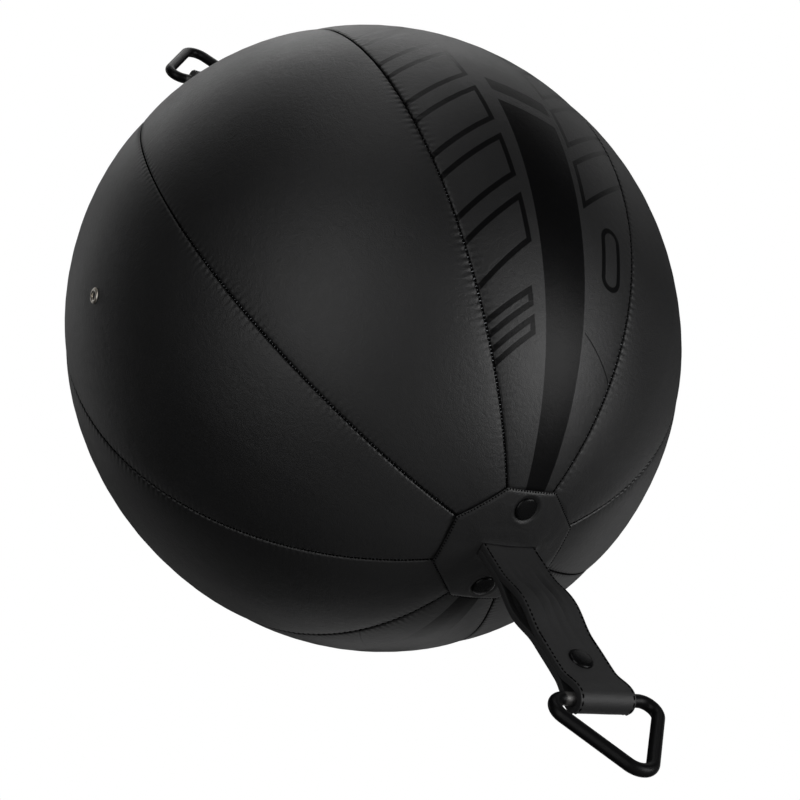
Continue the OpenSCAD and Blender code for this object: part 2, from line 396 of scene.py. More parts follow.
def leather(name, dark, light, roughness, grain=0.21, grain_size=900.0, printed=False):
    """Coated leather: pebbled grain with painted shade in its crease lines, a faint mottle, scuffs, and a print
    where it has one.
    """
    material, wire = started(name, IOR=1.5, Sheen_Weight=0.015, Sheen_Roughness=0.45)
    places = wire.add("ShaderNodeTexCoord", output=3)
    pebbles = wire.add("ShaderNodeTexVoronoi", {"feature": "DISTANCE_TO_EDGE"},
                       {"Vector": places, "Scale": grain_size, "Randomness": 1.0})
    fine = wire.add("ShaderNodeTexNoise", {}, {"Vector": places, "Scale": 2400.0, "Detail": 3.0})
    mottle = wire.add("ShaderNodeTexNoise", {}, {"Vector": places, "Scale": 22.0, "Detail": 5.0})
    scuff = wire.add("ShaderNodeTexNoise", {},
                     {"Vector": places, "Scale": 160.0, "Detail": 6.0, "Roughness": 0.7})
    creases = pebbles.step(0.0, 0.16)
    wrinkled = wire.add("ShaderNodeTexNoise", {},
                        {"Vector": places, "Scale": 190.0, "Detail": 5.0, "Roughness": 0.62, "Distortion": 1.2})
    height = creases * 0.35 + fine * 0.25 + wrinkled * 2.6
    rough = roughness + (mottle - 0.5) * 0.10 + (scuff - 0.5) * 0.10
    # Colour: a random mottle, and darker in the grain's crease lines as painted shade.
    colour = mixed(wire, mottle * 0.7 + creases * 0.3, dark, light)
    if printed:
        inked = print_mask(wire)
        height = height * (1 - inked * 0.6) + inked * 0.5
    colour.to("Base Color")
    rough.to("Roughness")
    bump = wire.add("ShaderNodeBump", {}, {"Height": height, "Strength": grain, "Distance": 0.0006})
    bump.to("Normal")
    if printed:
        ink = wire.add("ShaderNodeBsdfPrincipled", {}, {
            "Base Color": mixed(wire, mottle, PRINT_COLOUR, PRINT_WORN_COLOUR),
            "Roughness": scuff * 0.08 + PRINT_ROUGHNESS,
            "IOR": PRINT_IOR,
            "Normal": bump,
        })
        both = wire.add("ShaderNodeMixShader", {}, {0: inked, 2: ink})
        nodes = material.node_tree.nodes
        wire.tree.links.new(nodes["Principled BSDF"].outputs[0], both.socket.node.inputs[1])
        wire.tree.links.new(both.socket, nodes["Material Output"].inputs["Surface"])
    return material


# The print on two facing panels: a broad gloss stripe with a slanted top, and beside it gloss
# outlines of slanted bars, a rounded bar and a hairline, screened on before the panels are sewn.
# Each rise is how far a line climbs the panel, in metres, for one degree round the ball.
PRINT_COLOUR = (0.0026, 0.0026, 0.0028, 1)
PRINT_WORN_COLOUR = (0.00416, 0.00416, 0.00448, 1)
PRINT_ROUGHNESS = 0.30
PRINT_IOR = 1.21
LINE_WIDTH = 0.0034
STRIPE_LEFT, STRIPE_LEFT_LEAN = -6.9, 8.0
STRIPE_RIGHT, STRIPE_RIGHT_LEAN = 0.0074, 0.051
STRIPE_TOP, STRIPE_TOP_RISE = 0.3049, -0.00156
BLOCK_LOW, BLOCK_HIGH = 0.3150, 0.3290
PANEL_TURN = 22.4
BARS_TURN = 6.5
EDGE_FADE = 0.0003
SLAB_RISE, SLAB_FIRST, SLAB_WIDTH, SLAB_GAP = 0.0019, 0.2160, 0.0330, 0.0115
SLAB_TURN, SLABS_LOW, SLABS_HIGH = 7.4, 0.2150, 0.4700
TALLY_RISE, TALLY_FIRST, TALLY_WIDTH, TALLY_GAP = 0.0013, 0.1560, 0.0125, 0.0050
TALLY_TURN, TALLIES_LOW, TALLIES_HIGH = 9.0, 0.1555, 0.1870
SLAT_RISE, SLAT_FIRST, SLAT_WIDTH, SLAT_GAP = 0.0026, 0.2120, 0.0360, 0.0110
SLAT_TURN, SLATS_LOW, SLATS_HIGH = 7.4, 0.2110, 0.4600
BAR_LEAN = 0.82
PILL_TURN, PILL_ALONG, PILL_HALF_LENGTH, PILL_RADIUS = 14.6, 0.2030, 0.0130, 0.0088
HAIRLINE_ALONG, HAIRLINE_WIDTH, HAIRLINE_RISE, HAIRLINE_TURN = 0.1604, 0.0012, -0.00165, 7.2


def print_mask(wire):
    """1 where there is ink, from the panel's own flat pattern: across and along, in metres."""
    flat = wire.add("ShaderNodeUVMap", {"uv_map": "cut_pattern"})
    split = wire.add("ShaderNodeSeparateXYZ", {}, {"Vector": flat})
    across = Wire(wire.tree, split.socket.node.outputs[0])
    along = Wire(wire.tree, split.socket.node.outputs[1])
    colatitude = along * (2 / (BALL_RADIUS + BALL_HALF_HEIGHT))
    ring = colatitude.math("SINE") * BALL_RADIUS
    turn = across / ring * (180 / math.pi)

    def inside(value, low, high, soft=0.00025):
        """1 between low and high, with soft edges."""
        return value.step(low - soft, low + soft) * (1 - value.step(high - soft, high + soft))

    def slanted(rise):
        """Distance up a panel, measured square to bars that rise so far for each degree round."""
        return along - turn * rise

    left_edge = turn - along * STRIPE_LEFT_LEAN - STRIPE_LEFT
    right_edge = along * STRIPE_RIGHT_LEAN + STRIPE_RIGHT - across
    stripe_band = left_edge.step(-0.1, 0.1) * right_edge.step(-EDGE_FADE, EDGE_FADE)
    top_slant = slanted(STRIPE_TOP_RISE)
    stripe = stripe_band * (1 - top_slant.step(STRIPE_TOP - 0.0002, STRIPE_TOP + 0.0002))
    block = stripe_band * inside(top_slant, BLOCK_LOW, BLOCK_HIGH)

    def outlined_bars(position, first, bar, gap, to_end):
        """Outlines of slanted bars, repeated every bar and gap, closed off near their ends."""
        period = bar + gap
        middle = position - (first + bar / 2) + period * 20
        off_middle = (middle + period / 2).math("WRAP", 0.0, period).math("SUBTRACT", period / 2)
        depth = (bar / 2 - off_middle.math("ABSOLUTE")) * BAR_LEAN
        return inside(depth.math("MINIMUM", to_end), 0.0, LINE_WIDTH, EDGE_FADE)

    metres = ring * (math.pi / 180)
    slab_rise = slanted(SLAB_RISE)
    tally_rise = slanted(TALLY_RISE)
    slat_rise = slanted(SLAT_RISE)
    slabs = outlined_bars(slab_rise, SLAB_FIRST, SLAB_WIDTH, SLAB_GAP, (turn * -1 - SLAB_TURN) * metres)
    tallies = outlined_bars(tally_rise, TALLY_FIRST, TALLY_WIDTH, TALLY_GAP, (turn * -1 - TALLY_TURN) * metres)
    slats = outlined_bars(slat_rise, SLAT_FIRST, SLAT_WIDTH, SLAT_GAP, (turn - SLAT_TURN) * metres)
    left_lines = slabs * inside(slab_rise, SLABS_LOW, SLABS_HIGH, 0.0002)
    left_lines = left_lines + tallies * inside(tally_rise, TALLIES_LOW, TALLIES_HIGH, 0.0002)
    left_lines = left_lines * inside(turn, -PANEL_TURN, -BARS_TURN, 0.1)
    right_lines = slats * inside(slat_rise, SLATS_LOW, SLATS_HIGH, 0.0002)
    right_lines = right_lines * inside(turn, BARS_TURN, PANEL_TURN, 0.1)
    pill_x = ((turn - PILL_TURN) * metres).math("ABSOLUTE")
    pill_y = ((along - PILL_ALONG).math("ABSOLUTE") - PILL_HALF_LENGTH).math("MAXIMUM", 0.0)
    pill_reach = (pill_x * pill_x + pill_y * pill_y).math("SQRT")
    pill = inside(pill_reach, PILL_RADIUS - LINE_WIDTH, PILL_RADIUS, EDGE_FADE)
    hairline = inside(slanted(HAIRLINE_RISE), HAIRLINE_ALONG, HAIRLINE_ALONG + HAIRLINE_WIDTH, 0.0002)
    hairline = hairline * inside(turn, HAIRLINE_TURN, PANEL_TURN, 0.1)
    return (stripe + block + left_lines + right_lines + pill + hairline).math("MINIMUM", 1.0)


BLACK_LEATHER = ((0.0070, 0.0070, 0.0074, 1), (0.0120, 0.0120, 0.0124, 1), 0.47)
panel_leather = leather("panel_leather", *BLACK_LEATHER)
printed_leather = leather("printed_leather", *BLACK_LEATHER, printed=True)
PRINTED_PANELS = (3, 7)
VENT_PANEL = 5
VENT_HOLE = 0.0036

for number in range(1, PANELS + 1):
    chosen = printed_leather if number in PRINTED_PANELS else panel_leather
    skin = gore(number)
    if number == VENT_PANEL:
        vent_place, _ = on_ball(math.pi, math.pi / 2, 0)
        covered = [f for f in skin.faces if (f.calc_center_median() - vent_place).length < VENT_HOLE]
        bmesh.ops.delete(skin, geom=covered, context="FACES")
    panel = finished(skin, f"leather_panel_{number}", chosen, "ball")
    thickened(panel, PANEL_THICKNESS)
    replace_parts(panel, f"panel_{number}")

# Seam thread. A heavy waxed black thread holds each turned seam; between the two lips its
# slanted stitches show as a row of short dark bites.
THREAD_THICKNESS = 0.0020
SEAM_STITCH_LENGTH = 0.0019
SEAM_STITCH_SLANT = 0.0005
SEAM_STITCH_LIFT = -0.0008

bar_shape = bmesh.new()
bmesh.ops.create_uvsphere(bar_shape, u_segments=6, v_segments=5, radius=1)
thread_bar = bpy.data.meshes.new("thread_bar")
bar_shape.to_mesh(thread_bar)
bar_shape.free()


def stitch(bm, start, end, out, thickness):
    """One stitch: a short rounded bar of thread from start to end, lying on the leather."""
    along = end - start
    side = along.cross(out).normalized()
    rise = side.cross(along).normalized()
    turn = Matrix((side * thickness / 2, rise * thickness / 2, along / 2)).transposed()
    bar = thread_bar.copy()
    bar.transform(Matrix.Translation((start + end) / 2) @ turn.to_4x4())
    bm.from_mesh(bar)
    bpy.data.meshes.remove(bar)


def thread(name, colour, roughness):
    """Waxed thread: two strands laid round each other, with a dull shine and painted shade in the grooves
    between the strands.
    """
    material, wire = started(name, IOR=1.14)
    places = wire.add("ShaderNodeTexCoord", output=3)
    lay = wire.add("ShaderNodeTexWave", {"bands_direction": "DIAGONAL"},
                   {"Vector": places, "Scale": 700.0, "Distortion": 2.0, "Detail": 2.0})
    # Darker between the strands, where the bump is low: painted shade.
    shade = mixed(wire, lay, tuple(0.6 * c for c in colour[:3]) + (1,), colour)
    shade.to("Base Color")
    (lay * 0.15 + roughness).to("Roughness")
    wire.add("ShaderNodeBump", {}, {"Height": lay, "Strength": 0.5, "Distance": 0.0002}).to("Normal")
    return material


black_thread = thread("black_thread", (0.0016, 0.0016, 0.0017, 1), 0.75)
seam_bites = bmesh.new()
seam_start = PANEL_END + math.radians(1.6)
for seam in range(PANELS):
    longitude = (seam - 0.5) * 2 * math.pi / PANELS
    bites = int(meridian_length(math.pi - 2 * seam_start) * 2 / STITCH_PITCH)
    for bite in range(bites):
        colatitude = seam_start + (bite + 0.5) * STITCH_PITCH / 2 / meridian_length(1)
        swing = SEAM_STITCH_LENGTH / 2 / (BALL_RADIUS * math.sin(colatitude))
        slant = SEAM_STITCH_SLANT / meridian_length(1)
        lift = SEAM_STITCH_LIFT - SEAM_SINK - SEAM_ROLL
        start, _ = on_ball(longitude - swing, colatitude - slant, lift)
        finish, _ = on_ball(longitude + swing, colatitude + slant, lift)
        stitch(seam_bites, start, finish, on_ball(longitude, colatitude, 0)[1], THREAD_THICKNESS)
finished(seam_bites, "seam_thread", black_thread, "ball")

# End caps. An octagon of the same leather closes the panels' points at each end. It is sewn down
# round its edge with fine thread, slotted for the strap, and pulled in round its two rivets.
CAP_CORNER = 0.047
CAP_THICKNESS = 0.0016
CAP_GRID = 92
CAP_STITCH_INSET = 0.0007
CAP_STITCH_PITCH = 0.0021
CAP_THREAD = 0.0013
CAP_STITCH_SHARES = (0.28, 0.72)
CAP_SKIVE = 0.0010
CAP_SEWN_DIP = 0.00030
CAP_SEWN_WIDTH = 0.0007
CAP_RIVET_DIP, CAP_RIVET_DIP_REACH = 0.0011, 0.0016
CAP_RIVET_PUFF, CAP_RIVET_PUFF_AT, CAP_RIVET_PUFF_WIDTH = 0.0003, 0.0022, 0.0012
CAP_SLOT_RISE, CAP_SLOT_REACH = 0.0009, 0.0035
CAP_LUMP, CAP_LUMPS_ACROSS = 0.00022, 120
SLOT_HALF = (0.0203, 0.0044)
CAP_RIVET_Y = 0.031
RIVET_RADIUS = 0.0075
ENDS = {"bottom": -1, "top": 1}
CAP_EDGE = CAP_CORNER * math.cos(math.pi / PANELS)


def on_end(end, x, y, lift):
    """The point over (x, y) on the ball's bottom or top end, lifted off the skin, and its normal."""
    longitude = math.atan2(y, x)
    colatitude = math.asin(min(1.0, math.hypot(x, y) / BALL_RADIUS))
    if end == "top":
        colatitude = math.pi - colatitude
    return on_ball(longitude, colatitude, lift)


def edge_distance(x, y):
    """Distance in from the octagon's nearest edge."""
    sides = [2 * math.pi * k / PANELS for k in range(PANELS)]
    return CAP_EDGE - max(x * math.cos(a) + y * math.sin(a) for a in sides)


def cap_lift(x, y):
    """Height of the cap's face over the panels: a skived edge, the sewn line, and the rivets' pull."""
    inset = edge_distance(x, y)
    lift = CAP_THICKNESS - CAP_SKIVE * math.exp(-max(inset, 0) / CAP_SEWN_WIDTH)
    lift -= CAP_SEWN_DIP * math.exp(-((inset - CAP_STITCH_INSET) / CAP_SEWN_WIDTH) ** 2)
    for side in (-1, 1):
        reach = math.hypot(x, y - side * CAP_RIVET_Y) - RIVET_RADIUS
        lift -= CAP_RIVET_DIP * math.exp(-(max(reach, 0) / CAP_RIVET_DIP_REACH) ** 2)
        lift += CAP_RIVET_PUFF * math.exp(-((reach - CAP_RIVET_PUFF_AT) / CAP_RIVET_PUFF_WIDTH) ** 2)
    slot = math.hypot(max(abs(x) - SLOT_HALF[0], 0), max(abs(y) - SLOT_HALF[1], 0))
    lift += CAP_SLOT_RISE * math.exp(-slot / CAP_SLOT_REACH)
    lift += CAP_LUMP * noise.noise(Vector((x * CAP_LUMPS_ACROSS, y * CAP_LUMPS_ACROSS, 2.0)))
    return lift


cap_leather = leather("cap_leather", *BLACK_LEATHER)
for end in ENDS:
    bm = cleared("cut_pattern")
    bmesh.ops.create_grid(bm, x_segments=CAP_GRID, y_segments=CAP_GRID, size=CAP_CORNER, calc_uvs=True)
    for k in range(PANELS):
        side = Vector((math.cos(2 * math.pi * k / PANELS), math.sin(2 * math.pi * k / PANELS), 0))
        everything = bm.verts[:] + bm.edges[:] + bm.faces[:]
        bmesh.ops.bisect_plane(bm, geom=everything, plane_co=side * CAP_EDGE, plane_no=side, clear_outer=True)
    for axis, reach in enumerate(SLOT_HALF):
        for way in (-1, 1):
            side = Vector((way, 0, 0)) if axis == 0 else Vector((0, way, 0))
            everything = bm.verts[:] + bm.edges[:] + bm.faces[:]
            bmesh.ops.bisect_plane(bm, geom=everything, plane_co=side * reach, plane_no=side)
    middles = {face: face.calc_center_median() for face in bm.faces}
    inside_slot = [f for f, at in middles.items() if abs(at.x) < SLOT_HALF[0] and abs(at.y) < SLOT_HALF[1]]
    bmesh.ops.delete(bm, geom=inside_slot, context="FACES")
    bmesh.ops.remove_doubles(bm, verts=bm.verts, dist=0.00005)
    for vertex in bm.verts:
        vertex.co = on_end(end, vertex.co.x, vertex.co.y, cap_lift(vertex.co.x, vertex.co.y))[0]
    facing_out(bm)
    cap = finished(bm, f"{end}_end_cap", cap_leather, "ball")
    thickened(cap, CAP_THICKNESS)
    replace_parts(cap, f"{end}_cap")

    sewing = bmesh.new()
    for k in range(PANELS):
        low = 2 * math.pi * (k - 0.5) / PANELS
        corner = CAP_CORNER - CAP_STITCH_INSET / math.cos(math.pi / PANELS)
        start = Vector((math.cos(low), math.sin(low), 0)) * corner
        high = low + 2 * math.pi / PANELS
        finish = Vector((math.cos(high), math.sin(high), 0)) * corner
        bites = round((finish - start).length / CAP_STITCH_PITCH)
        for bite in range(bites):
            needle_holes = []
            for share in CAP_STITCH_SHARES:
                spot = start.lerp(finish, (bite + share) / bites)
                lift = cap_lift(spot.x, spot.y) + CAP_THREAD * 0.05
                needle_holes.append(on_end(end, spot.x, spot.y, lift)[0])
            stitch(sewing, *needle_holes, on_end(end, start.x, start.y, 0)[1], CAP_THREAD)
    finished(sewing, f"{end}_cap_thread", black_thread, "ball")

# Rivets. Domed steel caps, enamelled black, close a tubular rivet through the cap, the strap's
# foot and the backing patch; the same rivet holds the strap's two layers together near the ring.
RIVET_ROLL = 0.0006
RIVET_SKIRT = 0.0012
RIVET_SIDES = 40
CAP_RIVET_HEIGHT = 0.0011
CAP_RIVET_SINK = 0.0006


def enamel(name, colour, roughness, wear_and_highlight_colour, orange_peel=0.25, rub_patch_and_highlight=None):
    """Stoved black enamel on steel: a slight orange peel, fine dust marks and a little edge wear; where a patch
    mask is given, lighter steel that is partly scuffed enamel and partly a painted highlight.
    """
    material, wire = started(name, IOR=1.26)
    places = wire.add("ShaderNodeTexCoord", output=3)
    peel = wire.add("ShaderNodeTexNoise", {}, {"Vector": places, "Scale": 900.0, "Detail": 2.0})
    marks = wire.add("ShaderNodeTexNoise", {},
                     {"Vector": places, "Scale": 260.0, "Detail": 8.0, "Roughness": 0.75})
    edges = wire.add("ShaderNodeNewGeometry", output="Pointiness")
    edge_wear_and_highlight = edges.step(0.58, 0.70) * marks.step(0.56, 0.66)
    if rub_patch_and_highlight:
        # The patch mask adds lighter steel: partly scuffed enamel, partly a painted highlight.
        edge_wear_and_highlight = (edge_wear_and_highlight + rub_patch_and_highlight(wire, places) * marks.step(0.30, 0.55)).math("MINIMUM", 1.0)
    mixed(wire, edge_wear_and_highlight, colour, wear_and_highlight_colour).to("Base Color")
    (edge_wear_and_highlight * 0.8).to("Metallic")
    ((marks - 0.5) * 0.22 + roughness + edge_wear_and_highlight * 0.1).to("Roughness")
    height = peel + marks * 0.3
    wire.add("ShaderNodeBump", {}, {"Height": height, "Strength": orange_peel, "Distance": 0.0003}).to("Normal")
    return material


rivet_enamel = enamel("rivet_enamel", (0.0035, 0.0035, 0.0038, 1), 0.27, (0.06, 0.06, 0.06, 1))


def rivet_head(bm, seat, out, height):
    """A domed head with a rolled rim, spun about the rivet's axis and seated on the leather."""
    profile = []
    for angle in map(math.radians, range(0, 90, 9)):
        up_to = RIVET_ROLL + height * math.cos(angle) ** 0.8
        profile.append(Vector((RIVET_RADIUS * math.sin(angle), 0, up_to)))
    for angle in map(math.radians, (60, 20, -20, -70)):
        out_to = RIVET_RADIUS + RIVET_ROLL * (math.cos(angle) - 0.4)
        profile.append(Vector((out_to, 0, RIVET_ROLL * math.sin(angle))))
    profile.append(Vector((RIVET_RADIUS * 0.8, 0, -RIVET_SKIRT)))
    before = set(bm.verts)
    chain = [bm.verts.new(p) for p in profile]
    edges = [bm.edges.new(pair) for pair in zip(chain, chain[1:])]
    bmesh.ops.spin(bm, geom=chain + edges, cent=(0, 0, 0), axis=(0, 0, 1), angle=2 * math.pi,
                   steps=RIVET_SIDES, use_merge=True)
    made = [v for v in bm.verts if v not in before]
    bmesh.ops.remove_doubles(bm, verts=made, dist=0.00001)
    made = [v for v in bm.verts if v not in before]
    rim = [e for e in bm.edges if e.is_boundary and e.verts[0] in set(made)]
    bmesh.ops.holes_fill(bm, edges=rim, sides=0)
    turn = out.to_track_quat("Z", "Y").to_matrix().to_4x4()
    bmesh.ops.transform(bm, matrix=Matrix.Translation(seat) @ turn, verts=made)


for end in ENDS:
    bm = bmesh.new()
    for side in (-1, 1):
        seat, out = on_end(end, 0, side * CAP_RIVET_Y, CAP_THICKNESS - CAP_RIVET_SINK)
        rivet_head(bm, seat, out, CAP_RIVET_HEIGHT)
    bmesh.ops.recalc_face_normals(bm, faces=bm.faces)
    heads = finished(bm, f"{end}_cap_rivet_heads", rivet_enamel, "ball")
    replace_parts(heads, f"{end}_cap_rivets")

# Straps. One strip of thick black leather is folded round the ring, riveted to itself, and its
# two ends go through the cap and are riveted under it. Both its edges are sewn.
BAR_UP = 0.357
STRAP_WIDTH = 0.040
STRAP_THICKNESS = 0.0040
LAYER = 0.00205
LOOP_RADIUS = 0.0063
NECK = 0.020
BULGE = 0.0040
BULGE_LOW = 0.048
BULGE_HIGH = 0.1046
FOOT_DEPTH = 0.0044
FOOT_REACH = 0.040
FOOT_INNER = 0.0095
FOOT_STEPS = 13
TURN_STEPS = 8
RUN_STEPS = 90
STRAP_STEP = 0.0011
SLOT_UP = BALL_HALF_HEIGHT + CAP_THICKNESS
STRAP_STITCH_INSET = 0.0015
STRAP_STITCH_PITCH = 0.0034
STRAP_THREAD = 0.0011
STRAP_RIVET_DOWN = 0.029
STRAP_RIVET_HEIGHT = 0.0012
STRAP_RIVET_PROUD = 0.0002
STRAP_STITCH_SHARE = 0.74
STRAP_STITCH_PROUD = 0.0001
STRAP_EDGE_PLACES = [0.0185, 0.0191, 0.0196, 0.0200]
STRAP_FLAT_HALF = 0.0178
WRINKLE = 0.0019
WRINKLES_ACROSS = 230
WRINKLES_ALONG = 24
WRINKLE_DOWN = 0.088
WRINKLE_SPREAD = 0.028
WRINKLE_HALF_WIDTH = 0.017
STRAP_LUMP = 0.0002
STRAP_LUMPS = 60


def side_of_strap():
    """One layer of the folded strip, seen from its edge, from its foot up to the ring's bar."""
    path = []
    for i in range(FOOT_STEPS + 1):
        y = FOOT_REACH + (FOOT_INNER - FOOT_REACH) * i / FOOT_STEPS
        path.append(Vector((y, BALL_HALF_HEIGHT * math.sqrt(1 - (y / BALL_RADIUS) ** 2) - FOOT_DEPTH)))
    leaves_slot = SLOT_UP - 0.001
    corner = (path[-1], Vector((LAYER, path[-1].y)), Vector((LAYER, leaves_slot)))
    for i in range(1, TURN_STEPS + 1):
        t = i / TURN_STEPS
        path.append(corner[0] * (1 - t) ** 2 + corner[1] * 2 * t * (1 - t) + corner[2] * t * t)
    for i in range(1, RUN_STEPS + 1):
        up = leaves_slot + (BAR_UP - leaves_slot) * i / RUN_STEPS
        height = BAR_UP - up
        y = LAYER
        if BULGE_LOW < height < BULGE_HIGH:
            y += BULGE * math.sin(math.pi * (height - BULGE_LOW) / (BULGE_HIGH - BULGE_LOW)) ** 2
        if height < NECK:
            y += (LOOP_RADIUS - LAYER) * (1 + math.cos(math.pi * height / NECK)) / 2
        path.append(Vector((y, up)))
    return path


def strap_path():
    """The whole strip, foot to foot over the bar, in even steps."""
    right = side_of_strap()
    over = [
        Vector((LOOP_RADIUS * math.cos(math.radians(a)), BAR_UP + LOOP_RADIUS * math.sin(math.radians(a))))
        for a in range(10, 180, 10)
    ]
    path = right + over + [Vector((-p.x, p.y)) for p in reversed(right)]
    lengths = [0.0]
    for a, b in zip(path, path[1:]):
        lengths.append(lengths[-1] + (b - a).length)
    steps = round(lengths[-1] / STRAP_STEP)
    even = []
    segment = 0
    for i in range(steps + 1):
        wanted = lengths[-1] * i / steps
        while segment < len(path) - 2 and lengths[segment + 1] < wanted:
            segment += 1
        share = (wanted - lengths[segment]) / (lengths[segment + 1] - lengths[segment])
        even.append(path[segment].lerp(path[segment + 1], share))
    return even


strip = strap_path()
strip_tangents = [(b - a).normalized() for a, b in zip(strip[:1] + strip, strip[1:] + strip[-1:])]
across_flat = [STRAP_FLAT_HALF * (i / 16 - 1) for i in range(33)]
ACROSS = [-place for place in reversed(STRAP_EDGE_PLACES)] + across_flat + STRAP_EDGE_PLACES


def on_strap(end, x, row, lift):
    """A point on the strap's middle layer, lifted to its outer side, and that side's direction."""
    spot = strip[row]
    tangent = strip_tangents[row]
    out = Vector((0, tangent.y, -tangent.x * ENDS[end]))
    up = spot.y
    height = BAR_UP - up
    back = 1.5 * (row > len(strip) / 2)
    wrinkle = noise.noise(Vector((x * WRINKLES_ACROSS, up * WRINKLES_ALONG, back)))
    wrinkle *= math.exp(-(x / WRINKLE_HALF_WIDTH) ** 4)
    lift += WRINKLE * wrinkle * math.exp(-((height - WRINKLE_DOWN) / WRINKLE_SPREAD) ** 2)
    lift += STRAP_LUMP * noise.noise(Vector((x * STRAP_LUMPS, up * STRAP_LUMPS, 3.0 + ENDS[end])))
    base = Vector((x, spot.x, up * ENDS[end] + ball_centre.z))
    return base + out * lift, out


strap_leather = leather("strap_leather", (0.0150, 0.0150, 0.0155, 1), (0.0250, 0.0250, 0.0255, 1), 0.56)
strap_edge = leather("strap_cut_edge", (0.010, 0.010, 0.0105, 1), (0.022, 0.022, 0.0225, 1), 0.60,
                     grain=0.30, grain_size=1500.0)
for end in ENDS:
    bm = cleared("cut_pattern")
    rows = len(strip) - 1
    columns = len(ACROSS) - 1
    bmesh.ops.create_grid(bm, x_segments=columns, y_segments=rows, size=1, calc_uvs=True)
    for vertex in bm.verts:
        column = round((vertex.co.x + 1) / 2 * columns)
        row = round((vertex.co.y + 1) / 2 * rows)
        vertex.co = on_strap(end, ACROSS[column], row, 0)[0]
    bmesh.ops.recalc_face_normals(bm, faces=bm.faces)
    strap = finished(bm, f"{end}_leather_strap", strap_leather, None)
    strap.data.materials.append(strap_edge)
    solid = strap.modifiers.new("thickness", "SOLIDIFY")
    solid.thickness = STRAP_THICKNESS
    solid.offset = 0
    solid.material_offset_rim = 1
    rounded = strap.modifiers.new("burnished_edges", "BEVEL")
    rounded.width = 0.0006
    rounded.segments = 2
    rounded.limit_method = "ANGLE"
    rounded.angle_limit = math.radians(60)
    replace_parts(strap, f"{end}_strap", f"{end}_strap_feet")

    sewing = bmesh.new()
    pitch_rows = STRAP_STITCH_PITCH / STRAP_STEP
    for side in (-1, 1):
        x = side * (STRAP_WIDTH / 2 - STRAP_STITCH_INSET)
        for bite in range(int(rows / pitch_rows)):
            first = round(bite * pitch_rows)
            last = round((bite + STRAP_STITCH_SHARE) * pitch_rows)
            if min(strip[first].y, strip[last].y) < SLOT_UP - 0.002 or last >= len(strip):
                continue
            start, out = on_strap(end, x, first, STRAP_THICKNESS / 2 + STRAP_STITCH_PROUD)
            finish, _ = on_strap(end, x, last, STRAP_THICKNESS / 2 + STRAP_STITCH_PROUD)
            stitch(sewing, start, finish, out, STRAP_THREAD)
    strap_sewing = finished(sewing, f"{end}_strap_thread", black_thread, None)
    for piece in (strap, strap_sewing):
        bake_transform(piece)

    rivet_up = (BAR_UP - STRAP_RIVET_DOWN) * ENDS[end] + ball_centre.z
    for side, part, node in ((-1, "head", "strap_rivet"), (1, "back", "strap_rivet_cap")):
        bm = bmesh.new()
        seat = Vector((0, side * (LAYER + STRAP_THICKNESS / 2 + STRAP_RIVET_PROUD), rivet_up))
        rivet_head(bm, seat, Vector((0, side, 0)), STRAP_RIVET_HEIGHT)
        bmesh.ops.recalc_face_normals(bm, faces=bm.faces)
        closed = finished(bm, f"{end}_strap_rivet_{part}", rivet_enamel, f"{end}_strap")
        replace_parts(closed, f"{end}_{node}")

# Rings. A triangle bent from round steel wire, butt welded in the middle of its bar where the
# strap hides it, and enamelled black; it takes the hook above and the tether's hook below.
WIRE_RADIUS = 0.004
RING_HALF = 0.0445
RING_HEIGHT = 0.063
BAR_BEND = 0.009
APEX_BEND = 0.011
WIRE_SIDES = 36
HALF_BAR_STEPS = 12
CORNER_STEPS = 22
LEG_STEPS = 14
APEX_STEPS = 20
# Where the bar's lighter steel patch begins and ends, out along -X: partly scuffed enamel, partly a painted
# highlight.
RUB_AND_HIGHLIGHT_BEGINS = (0.0190, 0.0200)
RUB_AND_HIGHLIGHT_ENDS = (0.0255, 0.0275)
side_angle = math.atan2(RING_HEIGHT, RING_HALF)
bar_tangent = BAR_BEND / math.tan(side_angle / 2)
apex_tangent = APEX_BEND / math.tan(math.pi / 2 - side_angle)
leg = math.hypot(RING_HALF, RING_HEIGHT) - bar_tangent - apex_tangent


def drawn(bm, edges, run, steps):
    """Carries the open end of the wire straight on by a run."""
    for _ in range(steps):
        made = bmesh.ops.extrude_edge_only(bm, edges=edges)["geom"]
        moved = [v for v in made if isinstance(v, bmesh.types.BMVert)]
        bmesh.ops.translate(bm, verts=moved, vec=run / steps)
        edges = [e for e in made if isinstance(e, bmesh.types.BMEdge) and all(v in moved for v in e.verts)]
    return edges


def bent(bm, edges, centre, angle, steps):
    """Carries the open end of the wire round a bend in the ring's plane."""
    verts = list({v for e in edges for v in e.verts})
    made = bmesh.ops.spin(bm, geom=verts + edges, cent=centre, axis=(0, -1, 0), angle=angle, steps=steps)
    return [e for e in made["geom_last"] if isinstance(e, bmesh.types.BMEdge)]


def strap_rub_with_painted_highlight(wire, places):
    """1 on the bar's -X end just past the strap's edge, where the enamel is scuffed through to the steel; this
    lighter steel, on that one side only, is partly a painted highlight.
    """
    split = wire.add("ShaderNodeSeparateXYZ", {}, {"Vector": places})
    up = (Wire(wire.tree, split.socket.node.outputs[2]) - ball_centre.z).math("ABSOLUTE")
    on_bar = 1 - (up - BAR_UP).step(0.0035, 0.0050)
    beyond = split * -1
    return beyond.step(*RUB_AND_HIGHLIGHT_BEGINS) * (1 - beyond.step(*RUB_AND_HIGHLIGHT_ENDS)) * on_bar
